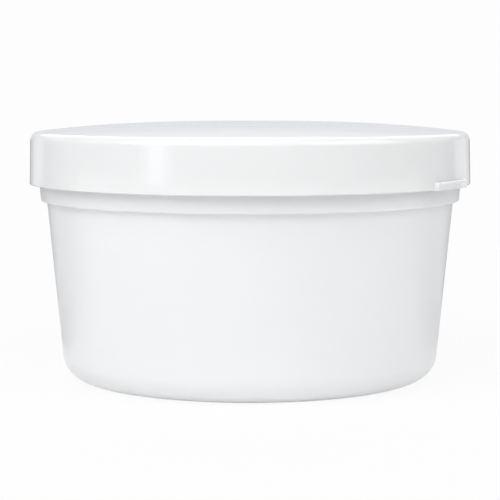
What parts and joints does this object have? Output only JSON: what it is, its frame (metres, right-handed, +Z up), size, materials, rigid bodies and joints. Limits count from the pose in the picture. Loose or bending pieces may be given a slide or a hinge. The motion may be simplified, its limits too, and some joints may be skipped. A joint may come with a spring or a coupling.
{
  "type": "snap-lid plastic jar",
  "caption": "Round white plastic tub with a tapered wall, a stepped collar and a slightly domed snap lid with a small thumb tab.",
  "frame": {"origin": "middle of the foot ring, on the surface that the jar stands on", "axes": "+Z up along the jar's axis; +Y from the front to the back; the thumb tab is on the skirt between +X and the front, 30.4 degrees from +X"},
  "size_m": [0.12, 0.12, 0.0695],
  "materials": {
    "jar": "satin white polypropylene with a faint moulded grain",
    "lid": "semi-gloss white polypropylene"
  },
  "bodies": {
    "root": {"jar": "jar", "lid": "lid"}
  },
  "joints": []
}
